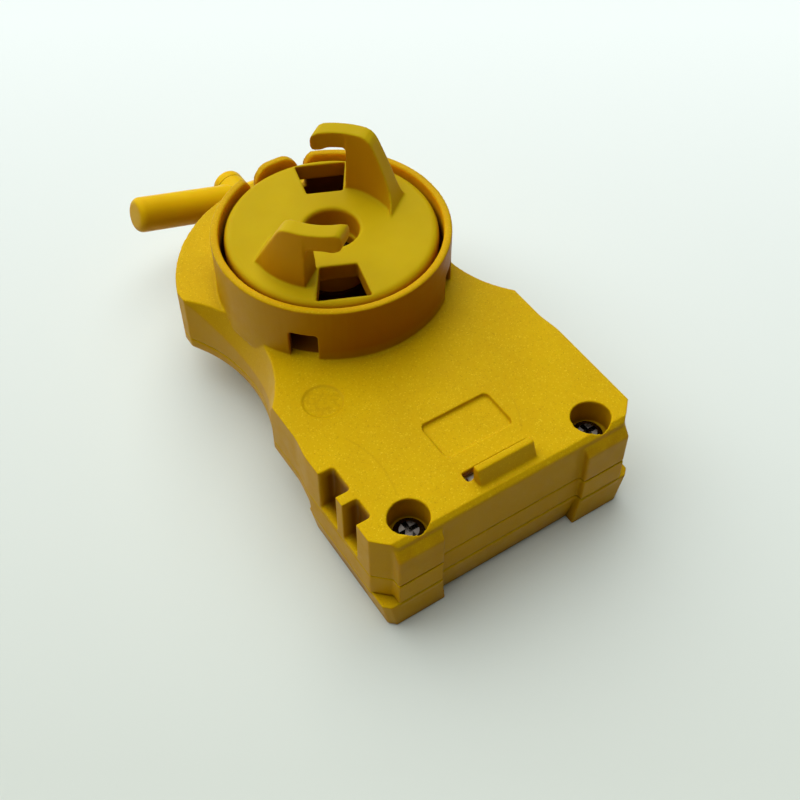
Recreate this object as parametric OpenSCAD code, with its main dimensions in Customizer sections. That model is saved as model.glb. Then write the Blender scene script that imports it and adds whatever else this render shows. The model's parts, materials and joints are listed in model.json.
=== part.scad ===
// Cord-pulled spinning top launcher, lying on its back cover with the chuck up.
// Origin: chuck axis at the table. +Y points to the pull handle, -Y to the rear grip end.

/* [Case] */
// Height of the chuck-side face above the table
case_h = 23.5; // [22:0.5:28]
// Height of the back cover, up to the lower seam
cover_h = 7.6; // [6.8:0.1:9]
// Height of the middle frame, between the two seams
frame_h = 5.3; // [4.6:0.1:6.2]
// Wall thickness of the mouldings
wall = 1.8; // [1.5:0.1:2.2]
// Radius of the round head
head_r = 29.2; // [28:0.2:32]
// Distance of the head's centre in front of the chuck axis
head_y = 3; // [2:0.5:4]
// Half width of the head between its side flats
head_half_w = 27.8; // [27:0.2:30]
// Half width of the rear grip block
rear_half_w = 26.5; // [25:0.5:29]
// Distance from the chuck axis back to the rear wall
rear_len = 58.9; // [56:0.5:64]
// Size of the 45 degree cuts on the rear corners
corner_cut = 3.4; // [2.6:0.2:4.4]
// Half width of the case at the waist
waist_half_w = 23; // [22:0.5:24.5]
// Radius of the hollow sides at the waist
waist_r = 31; // [28:1:35]
// Distance of the waist behind the chuck axis
waist_y = 7.3; // [6:0.5:9]
// Half width between the thumb scoops on the chuck-side face
scoop_half_w = 20.6; // [20:0.2:21.4]
// Radius of the thumb scoops on the chuck-side face
scoop_r = 23; // [21:0.5:25]
// Lean of the thumb scoops from upright, in degrees
scoop_lean = 20; // [14:1:26]
// How far the back cover draws in towards the table
cover_taper = 2; // [1:0.25:2.5]

/* [Rear details] */
// Inner edge of the rear corner pads, from the middle
pad_inner = 15.05; // [12:0.5:17]
// Outer edge of the rear corner pads, from the middle
pad_outer = 23.7; // [22:0.5:24.5]
// How far the corner pads stand out from the rear wall
pad_d = 1.3; // [0.8:0.1:2]
// Height of the slope on top of the corner pads
pad_slope_h = 3.6; // [2:0.2:5]
// Chamfer along the rear top edge
rear_chamfer = 0.9; // [0.4:0.1:1.4]
// Width of the shallow rectangular recess
recess_w = 14.1; // [10:0.5:18]
// Length of the shallow rectangular recess
recess_len = 8.25; // [6:0.25:9]
// Distance of the recess's middle behind the chuck axis
recess_y = 44.5; // [43.5:0.5:46]
// Depth of the shallow rectangular recess
recess_d = 0.8; // [0.4:0.1:1]
// Width of the raised hook rail
rail_w = 11.85; // [9:0.5:14]
// Height of the hook rail above the face
rail_h = 3.3; // [2:0.1:4]
// Distance of the hook rail's front foot behind the chuck axis
rail_y = 54.6; // [54:0.2:55]
// Width of the slot in front of the hook rail
slot_w = 14; // [12:0.5:16]
// Length of that slot
slot_len = 1.9; // [1.4:0.1:2.4]
// Depth of the two edge notches, inwards
notch_d = 2.85; // [2:0.1:3.4]
// Length of the front notch
notch_front_len = 5.5; // [4.6:0.1:6]
// Length of the rear notch
notch_rear_len = 4.4; // [4.2:0.1:5]
// Width of the rib between the notches
notch_rib = 2.1; // [1.4:0.1:3]
// Distance of the front notch's front end behind the chuck axis
notch_y = 39.7; // [38.5:0.2:40.5]
// Radius of the plain round mark
mark_r = 3.75; // [2.5:0.25:5]

/* [Collar] */
// Outer radius of the collar
collar_r = 22.5; // [21.5:0.25:24]
// Wall thickness of the collar
collar_t = 1.5; // [1.2:0.1:1.8]
// Height of the collar above the face
collar_h = 12.2; // [11:0.2:15]
// Width of the two collar windows
window_w = 5.3; // [4:0.1:7]
// Height of the two collar windows
window_h = 6.1; // [4:0.1:8]
// Width of the front tab
tab_w = 9.6; // [7:0.2:12]
// Width of the gaps beside the front tab
tab_gap = 1.3; // [0.8:0.1:2]
// Radius of the tab's top corners
tab_corner_r = 3.6; // [2:0.2:4]
// How far the tab stands above the rim
tab_rise = 0.5; // [0:0.1:1]

/* [Chuck] */
// Running gap between the disc and the collar
disc_gap = 0.9; // [0.5:0.1:1.5]
// How far the disc's face lies below the collar's rim
disc_drop = 0.3; // [0:0.1:1]
// Thickness of the disc
disc_t = 3.6; // [2.8:0.1:4.5]
// Rounding of the disc's upper edge
disc_edge_r = 1.5; // [0.8:0.1:2]
// Radius of the central hole
hole_r = 5.2; // [4.6:0.1:6]
// Rounding of the central hole's lip
lip_r = 0.8; // [0.4:0.1:1.2]
// Outer radius of the hub under the disc
hub_r = 7.4; // [6.8:0.1:8.5]
// Outer radius that the prongs follow
prong_r = 15.6; // [14.6:0.2:17]
// Distance of the prongs' flat inner face from the axis
prong_flat = 10.4; // [9.8:0.2:11.5]
// Direction of the first prong, in degrees
prong_angle = 36; // [20:1:50]
// Height of the prongs above the disc
prong_h = 13.1; // [11:0.2:15]
// Distance from the prong's middle to its sloped tail
prong_tail = 9.5; // [8:0.1:10]
// Distance from the prong's middle to its upright face
prong_root = 1.85; // [1:0.05:2.6]
// Distance from the prong's middle to the hook's tip
prong_tip = 8.1; // [7:0.1:9]
// Thickness of the hook's arm
hook_t = 4.6; // [3.6:0.1:5.4]
// Inner radius of the two disc windows
slit_inner_r = 10.2; // [9.6:0.1:11]
// Outer radius of the two disc windows
slit_outer_r = 18.4; // [17:0.1:18.6]
// Width of the disc windows at their inner end
slit_inner_w = 6.9; // [5:0.1:8]
// Width of the disc windows at their outer end
slit_outer_w = 9.9; // [8:0.1:11]

/* [Handle] */
// Radius of the handle's bar
bar_r = 3.65; // [3:0.05:4.2]
// Half length of the handle's bar
bar_half = 23.2; // [20:0.2:26]
// Distance from the hub's rear end to the bar's axis
bar_y = 6; // [5:0.25:8]
// Distance from the bar's axis to the hub's front end
hub_front = 4.6; // [4.2:0.1:6]
// Radius of the handle's hub
grip_hub_r = 5; // [4.6:0.1:6]
// Turn of the handle about the cord, in degrees
bar_tilt = 16.4; // [0:0.2:30]
// Height of the domed cap on the hub
cap_h = 2.2; // [1.4:0.1:3]

/* [Drive] */
// Radius of the spindle
spindle_r = 2; // [1.6:0.05:2.2]
// Radius of the reel's axle
axle_r = 2; // [1.6:0.05:2.4]
// Radius of the idler's pin
pin_r = 1.5; // [1.2:0.05:1.8]
// Teeth of the drive pinion
pinion_teeth = 12; // [12:2:14]
// Teeth of the idler gear
idler_teeth = 20; // [20:2:22]
// Teeth of the reel gear
reel_teeth = 42; // [38:2:42]
// Radius of the reel's drum
drum_r = 11; // [10:0.25:12]
// Diameter of the pull cord
cord_d = 1; // [0.8:0.05:1.1]
// Turns of cord beside each other on the drum
cord_turns = 3; // [2:1:4]
// Layers of cord on the drum
cord_layers = 2; // [1:1:2]
// Teeth of the ratchet clutch
saw_teeth = 6; // [5:1:8]
// Height of the ratchet teeth
saw_h = 1; // [0.8:0.1:1.2]

/* [Fasteners] */
// Distance of the rear case screws from the middle
rear_screw_x = 18.95; // [18:0.25:20]
// Distance of the rear case screws behind the chuck axis
rear_screw_y = 55.05; // [54:0.25:55.5]
// Radius of the rear screw recesses
screw_recess_r = 3.5; // [3.1:0.1:3.8]
// Depth of the rear screw recesses
screw_recess_d = 5.5; // [4:0.25:6.5]
// Distance of the front case screws from the middle
front_screw_x = 15; // [14:0.25:15.5]
// Distance of the front case screws in front of the chuck axis
front_screw_y = 8; // [6:0.25:10]
// Shank radius of the case screws
screw_r = 1.3; // [1:0.05:1.5]
// Head radius of the case screws
screw_head_r = 2.8; // [2.4:0.1:3]

/* [Hidden] */
$fn = 64;

// How far every cut runs past the face that it opens
overrun = 1;
// Radial clearance of running fits
run_gap = 0.05;
// Clearance of parts that are pressed or screwed together
seat_gap = 0.02;
// Clearance between faces that pass each other
pass_gap = 0.3;

// Case levels
case_floor = 1.8;
seam_z = cover_h + frame_h;
inner_top = case_h - wall;
rim_z = case_h + collar_h;
lower_groove = 0.35;
upper_groove = 0.15;
octant = 22.5;
corner_share = tan(octant);
mark_depth = 0.25;
mark_x = 18.3;
mark_y = 26.4;
liner_t = 1.7;
notch_rise = 0.8;
notch_corner_r = 0.5;
recess_corner_r = 1;
rail_foot = 2.4;
rail_top = 1.3;
rail_lean = 0.2;
corner_pocket_w = 2.4;
corner_pocket_d = 1.2;
corner_pocket_h = 2.6;
collar_root = wall + pass_gap;
window_angle = 45;
tab_gap_depth_share = 0.62;

// Gear train in line behind the chuck axis; the module fills the room up to the rear wall
train_gap = 2.06;
addendum_share = 0.8;
dedendum_share = 1.05;
pressure_angle = 20;
backlash = 0.12;
flank_steps = 3;
train_teeth = (pinion_teeth + 2 * idler_teeth + reel_teeth) / 2;
gear_m = (rear_len - wall - train_gap) / (train_teeth + reel_teeth / 2 + addendum_share);
idler_y = -gear_m * (pinion_teeth + idler_teeth) / 2;
reel_y = -gear_m * train_teeth;
gear_gap = 0.8;
gear_top = inner_top - gear_gap;

// Cord and reel
cord_r = cord_d / 2;
cord_play = 0.1;
groove_h = cord_d * cord_turns + 2 * pass_gap;
winding_r = drum_r + cord_d * cord_layers;
lead_r = winding_r - cord_r;
flange_t = 1.2;
flange_rise = 1.5;
flange_r = winding_r + flange_rise;
groove_z0 = seam_z - groove_h / 2;
groove_z1 = seam_z + groove_h / 2;
gear_z0 = groove_z1 + flange_t;
gear_h = gear_top - gear_z0;
reel_lift = 1.2;
reel_z0 = case_floor + reel_lift;
drum_t = 1.5;
drive_lug_r = 1.2;
drive_lug_h = 2;
drive_lug_share = 0.62;
drive_lug_count = 3;

// Rewind spring inside the drum
arbor_wall = 1;
arbor_r = axle_r + arbor_wall;
arbor_top = seam_z - pass_gap;
spring_cover_t = 0.8;
strip_t = 0.4;
strip_turns = 5;
strip_steps = 20;
strip_r0 = arbor_r + run_gap + strip_t / 2;
strip_r1 = drum_r - drum_t - pass_gap - strip_t;

// Spindle, bushes and chuck stack
bush_t = 1.6;
bush_flange_t = 0.8;
bush_flange_w = 3.2;
bush_flange_r = spindle_r + bush_flange_w;
boss_rise = 0.8;
boss_t = 2.2;
thrust_t = 0.5;
hub_floor = 2.2;
hub_z0 = case_h + boss_rise + bush_flange_t + thrust_t;
disc_top = rim_z - disc_drop;
disc_r = collar_r - collar_t - disc_gap;
hole_floor = hub_z0 + hub_floor;
washer_t = 0.5;
washer_r = 4.4;
chuck_screw_r = 1;
chuck_screw_len = 8;
chuck_head_r = 2.6;
lower_bush_h = 5.2;
post_wall = 1.6;
boss_wall = 1.2;

// Ratchet clutch under the pinion, clear of the cord
lift_share = 1.2;
dog_lift = saw_h * lift_share;
dog_t = 1.4;
dog_r = 3.6;
dog_z0 = seam_z + cord_r + pass_gap + dog_lift;
saw_z = dog_z0 + dog_t;
pinion_z0 = saw_z + saw_h;
saw_gap = 0.08;
saw_gap_angle = 1;
seat_t = 0.6;
seat_rise = 1;
seat_r = 3.4;
seat_z = case_floor + lower_bush_h + seat_rise;
coil_wire_r = 0.35;
coil_mean_r = 2.85;
coil_turns = 4;
coil_rings = 8;
coil_sides = 6;

// Prongs and disc windows
tail_crown_share = 0.16;
lip_share = 0.42;
slit_lead = 30;

// Front nozzle, eyelet and handle
nozzle_r = 5.6;
nozzle_rise = 0.6;
nozzle_depth = 3;
nozzle_y = head_y + head_r + nozzle_rise;
eyelet_r = 2.6;
eyelet_flange_r = 4.2;
eyelet_flange_t = 1;
eyelet_inset = 1;
eyelet_y0 = nozzle_y - nozzle_depth - eyelet_inset;
eyelet_front = nozzle_y + eyelet_flange_t;
cord_hole_r = cord_r + 4 * cord_play;
grip_y0 = eyelet_front + pass_gap;
grip_y = grip_y0 + bar_y;
grip_front = grip_y + hub_front;
knot_r = 2;
pocket_r = 3.1;
pocket_share = 0.25;
pocket_y = grip_y - bar_r * pocket_share;
knot_y = pocket_y + knot_r + run_gap;
bar_end_r = 1.4;
cap_plug_h = 1.2;
cap_edge_share = 0.45;

// Cord lead: tangent to the outer layer on the reel, through the eyelet, to the knot
lead_bend_y = eyelet_y0;
lead_angle = asin(lead_r / (lead_bend_y - reel_y));
lead_start = sqrt(pow(winding_r + cord_r + cord_play, 2) - pow(lead_r, 2)) + cord_play;
lead_x0 = lead_r * cos(lead_angle) - lead_start * sin(lead_angle);
lead_y0 = reel_y + lead_r * sin(lead_angle) + lead_start * cos(lead_angle);
lead_route = [[lead_x0, lead_y0], [0, lead_bend_y], [0, pocket_y + run_gap / 2]];
lead_sides = 8;

// Screws
screw_head_h = 1.5;
screw_dome_share = 0.4;
screw_clear_r = screw_r + pass_gap;
screw_cross_w = 0.9;
screw_cross_share = 0.62;
screw_cross_d = 0.9;
rear_seat_z = case_h - screw_recess_d;
hole_step_z = hole_floor + washer_t + screw_head_h + pass_gap;
screw_tip_z = case_floor + wall;
front_tip_z = seam_z;

gold = [0.79, 0.65, 0.05];
disc_gold = [0.74, 0.64, 0.09];
grip_gold = [0.85, 0.63, 0.06];
steel = [0.55, 0.55, 0.56];
brass = [0.72, 0.58, 0.28];
white_plastic = [0.9, 0.9, 0.86];
dark_plastic = [0.25, 0.24, 0.23];
cord_white = [0.92, 0.91, 0.88];

// Outlines of the case, drawn in by inset

module head_outline(inset) {
    intersection() {
        translate([0, head_y])
            circle(r = head_r - inset);
        square([2 * (head_half_w - inset), 4 * head_r], center = true);
    }
}

module block_outline(inset) {
    w = rear_half_w - inset;
    cut_y = corner_cut - rear_len + inset * corner_share;
    cut_x = rear_half_w - corner_cut - inset * corner_share;
    polygon([
        [w, 0], [-w, 0], [-w, cut_y], [-cut_x, inset - rear_len], [cut_x, inset - rear_len], [w, cut_y]
    ]);
}

module outline(inset) {
    difference() {
        union() {
            head_outline(inset);
            block_outline(inset);
        }
        for (side = [-1, 1])
            translate([side * (waist_half_w + waist_r), -waist_y])
                circle(r = waist_r + inset);
    }
}

// Inside of the chuck-side case, which also keeps a wall behind the thumb scoops
module scooped_outline(inset) {
    difference() {
        outline(inset);
        for (side = [-1, 1])
            translate([side * (scoop_half_w + scoop_r), -waist_y])
                circle(r = scoop_r + inset);
    }
}

module pad_outline() {
    for (side = [-1, 1])
        translate([side * (pad_inner + pad_outer) / 2, -rear_len])
            square([pad_outer - pad_inner, 2 * pad_d], center = true);
}

module rounded_plate(w, len, r) {
    square([w - 2 * r, len], center = true);
    square([w, len - 2 * r], center = true);
    for (x = [-1, 1], y = [-1, 1])
        translate([x * (w / 2 - r), y * (len / 2 - r)])
            circle(r = r);
}

// Repeated shapes

module tube(h, outer, inner) {
    difference() {
        cylinder(h = h, r = outer);
        translate([0, 0, -overrun])
            cylinder(h = h + 2 * overrun, r = inner);
    }
}

module along_y(y0, len, r) {
    translate([0, y0, 0])
        rotate([-90, 0, 0])
            cylinder(h = len, r = r);
}

// Cross-head screw, standing with the underside of its head at zero
module cross_screw(head_r, shank_r, shank_len) {
    dome_h = screw_head_h * screw_dome_share;
    difference() {
        union() {
            cylinder(h = screw_head_h - dome_h, r = head_r);
            translate([0, 0, screw_head_h - dome_h])
                cylinder(h = dome_h, r1 = head_r, r2 = head_r * screw_cross_share);
        }
        for (turn = [0, 90])
            rotate(turn)
                translate([0, 0, screw_head_h])
                    cube([2 * head_r * screw_cross_share, screw_cross_w, 2 * screw_cross_d], center = true);
    }
    translate([0, 0, -shank_len])
        cylinder(h = shank_len, r = shank_r);
}

module at_rear_screws() {
    for (side = [-1, 1])
        translate([side * rear_screw_x, -rear_screw_y, 0])
            children();
}

// Bosses around the rear screws, cut off where they meet the walls
module rear_bosses(z, h, inset) {
    intersection() {
        at_rear_screws()
            translate([0, 0, z])
                cylinder(h = h, r = screw_recess_r + boss_wall);
        translate([0, 0, z])
            linear_extrude(height = h)
                outline(inset);
    }
}

module at_front_screws() {
    for (side = [-1, 1])
        translate([side * front_screw_x, front_screw_y, 0])
            children();
}

// Involute gear outline with one tooth centred on the given direction
function roll(angle) = tan(angle) - angle * PI / 180;

function flank_half(teeth, r, radius) =
    90 / teeth - backlash / 2 / r * 90 / PI
    + (roll(pressure_angle) - roll(acos(min(1, r * cos(pressure_angle) / radius)))) * 180 / PI;

function gear_points(teeth, facing) =
    let (
        r = gear_m * teeth / 2,
        tip = r + gear_m * addendum_share,
        root = r - gear_m * dedendum_share,
        start = max(root, r * cos(pressure_angle)),
        steps = [for (i = [0:flank_steps]) start + (tip - start) * i / flank_steps],
        radii = concat([root], steps),
        halves = [for (radius = radii) flank_half(teeth, r, max(radius, start))],
        last = len(radii) - 1
    )
    [for (i = [0:teeth - 1])
        let (middle = facing + 360 * i / teeth)
        for (k = [0:2 * last + 1])
            let (
                rising = k <= last,
                at = rising ? k : 2 * last + 1 - k,
                angle = rising ? middle - halves[at] : middle + halves[at]
            )
            radii[at] * [cos(angle), sin(angle)]];

module gear_blank(teeth, facing, h) {
    linear_extrude(height = h)
        polygon(gear_points(teeth, facing));
}

// Space above the sloped face of each ratchet tooth, moved up by lift; early and late are angles at its ends
module saw_wedges(lift, early, late) {
    pitch = 360 / saw_teeth;
    reach = 2 * dog_r;
    middle = lift + saw_h / 2;
    rise = saw_h * reach / (2 * dog_r * sin(pitch / 2));
    angles = [-early, pitch / 2, pitch - late];
    for (i = [0:saw_teeth - 1])
        rotate(i * pitch)
            intersection() {
                translate([0, 0, -overrun])
                    linear_extrude(height = saw_h + 2 * overrun)
                        polygon(concat(
                            [for (k = [0:2]) reach * [cos(angles[k]), sin(angles[k])]],
                            [for (k = [0:2]) spindle_r / 2 * [cos(angles[2 - k]), sin(angles[2 - k])]]
                        ));
                rotate(pitch / 2)
                    rotate([90, 0, 90])
                        linear_extrude(height = reach)
                            polygon([
                                [-reach, middle - rise], [reach, middle + rise], [-reach, middle + rise]
                            ]);
            }
}

// Faces of a tube that is swept through rings of equal size
function tube_faces(rings, sides) = concat(
    [[for (k = [0:sides - 1]) k]],
    [for (i = [0:rings - 2], k = [0:sides - 1])
        let (a = i * sides + k, b = i * sides + (k + 1) % sides)
        each [[a, a + sides, b], [b, a + sides, b + sides]]],
    [[for (k = [0:sides - 1]) rings * sides - 1 - k]]
);

// Casing

module scoops() {
    drop = case_h - seam_z;
    for (side = [-1, 1])
        translate([side * (scoop_half_w + scoop_r), -waist_y, seam_z])
            cylinder(
                h = drop + overrun,
                r1 = scoop_r - drop * tan(scoop_lean),
                r2 = scoop_r + overrun * tan(scoop_lean)
            );
}

module collar() {
    translate([0, 0, case_h - collar_root])
        tube(collar_root + collar_h, collar_r, collar_r - collar_t);
    intersection() {
        translate([0, 0, case_h])
            tube(collar_h + tab_rise, collar_r, collar_r - collar_t);
        translate([0, collar_r, rim_z])
            cube([tab_w, 2 * collar_t + collar_r, 2 * collar_h], center = true);
    }
}

// Gap beside the front tab, with round shoulders on the tab and on the wall
module tab_cut() {
    depth = collar_h * tab_gap_depth_share;
    shoulder_z = tab_rise - tab_corner_r;
    rotate([90, 0, 180])
        linear_extrude(height = collar_r + overrun)
            for (side = [-1, 1])
                translate([side * (tab_w + tab_gap) / 2, rim_z]) {
                    translate([-tab_gap / 2, -depth])
                        square([tab_gap, depth + 2 * overrun]);
                    for (way = [-1, 1])
                        difference() {
                            translate([way * (tab_gap + tab_corner_r) / 2, shoulder_z + tab_corner_r])
                                square([tab_corner_r, 2 * tab_corner_r], center = true);
                            translate([way * (tab_gap / 2 + tab_corner_r), shoulder_z])
                                circle(r = tab_corner_r);
                        }
                }
}

module collar_windows() {
    for (side = [-1, 1])
        rotate(-90 + side * window_angle)
            translate([collar_r, 0, case_h + window_h / 2])
                cube([4 * collar_t, window_w, window_h], center = true);
}

module rear_edge_cut() {
    side = rear_chamfer * sqrt(2);
    translate([0, -rear_len, case_h])
        rotate([45, 0, 0])
            cube([2 * rear_half_w, side, side], center = true);
}

module pads_on_case() {
    slope_y = rear_len - pad_d;
    for (side = [-1, 1])
        translate([side * (pad_inner + pad_outer) / 2 - (pad_outer - pad_inner) / 2, 0, 0])
            rotate([90, 0, 90])
                linear_extrude(height = pad_outer - pad_inner)
                    polygon([
                        [-slope_y, seam_z], [-rear_len - pad_d, seam_z],
                        [-rear_len - pad_d, case_h - pad_slope_h], [-slope_y, case_h]
                    ]);
}

module hook_rail() {
    translate([-rail_w / 2, 0, case_h - wall / 2])
        rotate([90, 0, 90])
            linear_extrude(height = rail_w)
                polygon([
                    [-rail_y - rail_foot, 0], [-rail_y, 0], [-rail_y, wall / 2],
                    [rail_lean - rail_y, wall / 2 + rail_h],
                    [rail_lean - rail_y - rail_top, wall / 2 + rail_h],
                    [-rail_y - rail_foot, wall / 2]
                ]);
}

module notch_cuts() {
    depth = case_h - seam_z - notch_rise;
    lens = [notch_front_len, notch_rear_len];
    starts = [notch_y, notch_y + notch_front_len + notch_rib];
    for (i = [0, 1])
        translate([-rear_half_w - overrun, -starts[i] - lens[i], case_h - depth])
            linear_extrude(height = depth + overrun)
                union() {
                    square([notch_d + overrun - notch_corner_r, lens[i]]);
                    translate([0, notch_corner_r])
                        square([notch_d + overrun, lens[i] - 2 * notch_corner_r]);
                    for (y = [notch_corner_r, lens[i] - notch_corner_r])
                        translate([notch_d + overrun - notch_corner_r, y])
                            circle(r = notch_corner_r);
                }
}

module notch_liner() {
    len = notch_front_len + notch_rib + notch_rear_len + 2 * liner_t;
    translate([-rear_half_w + wall / 2, liner_t - notch_y - len, seam_z])
        cube([notch_d + liner_t - wall / 2, len, case_h - wall / 2 - seam_z]);
}

module nozzle() {
    translate([0, 0, seam_z])
        along_y(nozzle_y - nozzle_depth, nozzle_depth, nozzle_r);
}

module eyelet_bore() {
    translate([0, 0, seam_z])
        along_y(nozzle_y - nozzle_depth - overrun, nozzle_depth + 2 * overrun, eyelet_r + seat_gap);
}

module chuck_case() {
    boss_r = spindle_r + bush_t + boss_t;
    boss_drop = gear_gap - pass_gap;
    color(gold)
        difference() {
            union() {
                difference() {
                    translate([0, 0, seam_z])
                        linear_extrude(height = case_h - seam_z)
                            outline(0);
                    scoops();
                    translate([0, 0, seam_z - overrun])
                        linear_extrude(height = inner_top - seam_z + overrun)
                            scooped_outline(wall);
                    rear_edge_cut();
                }
                collar();
                pads_on_case();
                hook_rail();
                notch_liner();
                intersection() {
                    nozzle();
                    translate([-nozzle_r, 0, seam_z])
                        cube([2 * nozzle_r, 2 * nozzle_y, nozzle_r]);
                }
                rear_bosses(seam_z, inner_top - seam_z + wall / 2, wall / 2);
                translate([0, 0, inner_top - boss_drop])
                    cylinder(h = wall + boss_drop + boss_rise, r = boss_r);
                for (place = [[idler_y, pin_r], [reel_y, axle_r]])
                    translate([0, place[0], inner_top - boss_drop])
                        cylinder(h = boss_drop + wall / 2, r = place[1] + post_wall);
            }
            at_rear_screws() {
                translate([0, 0, rear_seat_z])
                    cylinder(h = screw_recess_d + overrun, r = screw_recess_r);
                translate([0, 0, seam_z - overrun])
                    cylinder(h = case_h - seam_z, r = screw_clear_r);
            }
            at_front_screws()
                translate([0, 0, inner_top - overrun])
                    cylinder(h = wall + 2 * overrun, r = screw_clear_r);
            translate([0, 0, inner_top - boss_drop - overrun])
                cylinder(h = wall + boss_drop + boss_rise + 2 * overrun, r = spindle_r + bush_t + seat_gap);
            for (place = [[idler_y, pin_r], [reel_y, axle_r]])
                translate([0, place[0], inner_top - boss_drop - overrun])
                    cylinder(h = boss_drop + overrun + wall / 2, r = place[1] + seat_gap);
            notch_cuts();
            collar_windows();
            tab_cut();
            eyelet_bore();
            translate([0, -recess_y, case_h - recess_d])
                linear_extrude(height = recess_d + overrun)
                    rounded_plate(recess_w, recess_len, recess_corner_r);
            translate([-mark_x, -mark_y, case_h - mark_depth])
                cylinder(h = mark_depth + overrun, r = mark_r);
            translate([-slot_w / 2, -rail_y, inner_top - overrun])
                cube([slot_w, slot_len, wall + 2 * overrun]);
        }
}

module middle_frame() {
    color(gold)
        difference() {
            union() {
                difference() {
                    union() {
                        translate([0, 0, cover_h])
                            linear_extrude(height = frame_h - upper_groove) {
                                outline(0);
                                pad_outline();
                            }
                        translate([0, 0, cover_h])
                            linear_extrude(height = frame_h)
                                outline(upper_groove);
                    }
                    translate([0, 0, cover_h - overrun])
                        linear_extrude(height = frame_h + 2 * overrun)
                            outline(wall);
                }
                rear_bosses(cover_h, frame_h, wall / 2);
                intersection() {
                    nozzle();
                    translate([-nozzle_r, 0, cover_h])
                        cube([2 * nozzle_r, 2 * nozzle_y, frame_h]);
                }
            }
            at_rear_screws()
                translate([0, 0, cover_h - overrun])
                    cylinder(h = frame_h + 2 * overrun, r = screw_clear_r);
            eyelet_bore();
        }
}

// Takes off what stands outside a face that leans in by cover_taper from height h down to the table
module lean_cut(x, y, turn, h) {
    reach = 2 * rear_len;
    translate([x, y, h])
        rotate(turn)
            rotate([-atan(cover_taper / h), 0, 0])
                translate([-reach / 2, 0, -reach])
                    cube([reach, reach, reach + overrun]);
}

// Rear block of the back cover, drawn in on all sides towards the table
module cover_block(h) {
    cut_mid = corner_cut / 2;
    difference() {
        linear_extrude(height = h)
            block_outline(0);
        lean_cut(0, -rear_len, 180, h);
        for (side = [-1, 1]) {
            lean_cut(side * rear_half_w, -rear_len, -side * 90, h);
            lean_cut(side * (rear_half_w - cut_mid), cut_mid - rear_len, -side * 135, h);
        }
    }
    for (side = [-1, 1])
        translate([side * (pad_inner + pad_outer) / 2 - (pad_outer - pad_inner) / 2, 0, 0])
            rotate([90, 0, 90])
                linear_extrude(height = pad_outer - pad_inner)
                    polygon([
                        [corner_cut - rear_len, 0], [cover_taper - rear_len - pad_d, 0],
                        [-rear_len - pad_d, h], [corner_cut - rear_len, h]
                    ]);
}

module cover_posts() {
    rear_bosses(case_floor / 2, cover_h - case_floor / 2, wall / 2 + cover_taper);
    translate([0, 0, case_floor / 2]) {
        at_front_screws()
            cylinder(h = inner_top - case_floor / 2, r = screw_r + post_wall);
        cylinder(h = case_floor / 2 + lower_bush_h, r = spindle_r + bush_t + post_wall);
        translate([0, idler_y, 0])
            cylinder(h = gear_z0 - pass_gap - case_floor / 2, r = pin_r + post_wall);
        translate([0, reel_y, 0])
            cylinder(h = arbor_top - case_floor / 2, r = arbor_r);
    }
}

module back_cover() {
    side_h = cover_h - lower_groove;
    color(gold)
        difference() {
            union() {
                difference() {
                    union() {
                        difference() {
                            union() {
                                intersection() {
                                    translate([0, head_y, 0])
                                        cylinder(h = side_h, r1 = head_r - cover_taper, r2 = head_r);
                                    translate([0, head_y, side_h / 2])
                                        cube([2 * head_half_w, 2 * head_r, side_h], center = true);
                                }
                                cover_block(side_h);
                            }
                            for (side = [-1, 1])
                                translate([side * (waist_half_w + waist_r), -waist_y, 0])
                                    cylinder(h = side_h, r1 = waist_r + cover_taper, r2 = waist_r);
                        }
                        translate([0, 0, side_h - lower_groove])
                            linear_extrude(height = 2 * lower_groove)
                                outline(lower_groove);
                    }
                    translate([0, 0, case_floor])
                        linear_extrude(height = cover_h)
                            outline(wall + cover_taper);
                }
                cover_posts();
            }
            at_rear_screws()
                translate([0, 0, case_floor])
                    cylinder(h = cover_h, r = screw_r + seat_gap);
            at_front_screws()
                translate([0, 0, seam_z - wall])
                    cylinder(h = case_h, r = screw_r + seat_gap);
            translate([0, 0, case_floor])
                cylinder(h = case_h, r = spindle_r + bush_t + seat_gap);
            translate([0, idler_y, case_floor])
                cylinder(h = case_h, r = pin_r + seat_gap);
            translate([0, reel_y, case_floor])
                cylinder(h = case_h, r = axle_r + seat_gap);
            for (side = [-1, 1])
                translate([side * (rear_half_w - corner_cut / 2), corner_cut / 2 - rear_len, side_h])
                    rotate(side * 45)
                        cube([corner_pocket_w, 2 * corner_pocket_d, 2 * corner_pocket_h], center = true);
        }
}

module rear_case_screws() {
    color(steel)
        at_rear_screws()
            translate([0, 0, rear_seat_z])
                cross_screw(screw_head_r, screw_r, rear_seat_z - screw_tip_z);
}

module front_case_screws() {
    color(steel)
        at_front_screws()
            translate([0, 0, case_h])
                cross_screw(screw_head_r, screw_r, case_h - front_tip_z);
}

// Chuck

// Side view of a prong: sloped tail, level top, round hook with a small lip, upright root
module prong_profile() {
    sink = disc_t / 2;
    tip_r = hook_t / 2;
    crown = prong_tail * tail_crown_share;
    union() {
        polygon([
            [-prong_tail, 0], [-prong_tail - sink * tail_crown_share, -sink], [prong_root, -sink],
            [prong_root, prong_h], [-crown, prong_h]
        ]);
        translate([0, prong_h - hook_t])
            square([prong_tip - tip_r, hook_t]);
        translate([prong_tip - tip_r, prong_h - tip_r])
            circle(r = tip_r);
        translate([prong_tip - tip_r, prong_h - hook_t])
            circle(r = tip_r * lip_share);
    }
}

module prong() {
    intersection() {
        translate([0, 0, -disc_t / 2])
            cylinder(h = prong_h + disc_t, r = prong_r);
        translate([prong_flat, 0, 0])
            rotate([90, 0, 90])
                linear_extrude(height = prong_r)
                    prong_profile();
    }
}

module disc_profile() {
    square([disc_r - disc_edge_r, disc_t]);
    square([disc_r, disc_t - disc_edge_r]);
    translate([disc_r - disc_edge_r, disc_t - disc_edge_r])
        circle(r = disc_edge_r);
}

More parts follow.
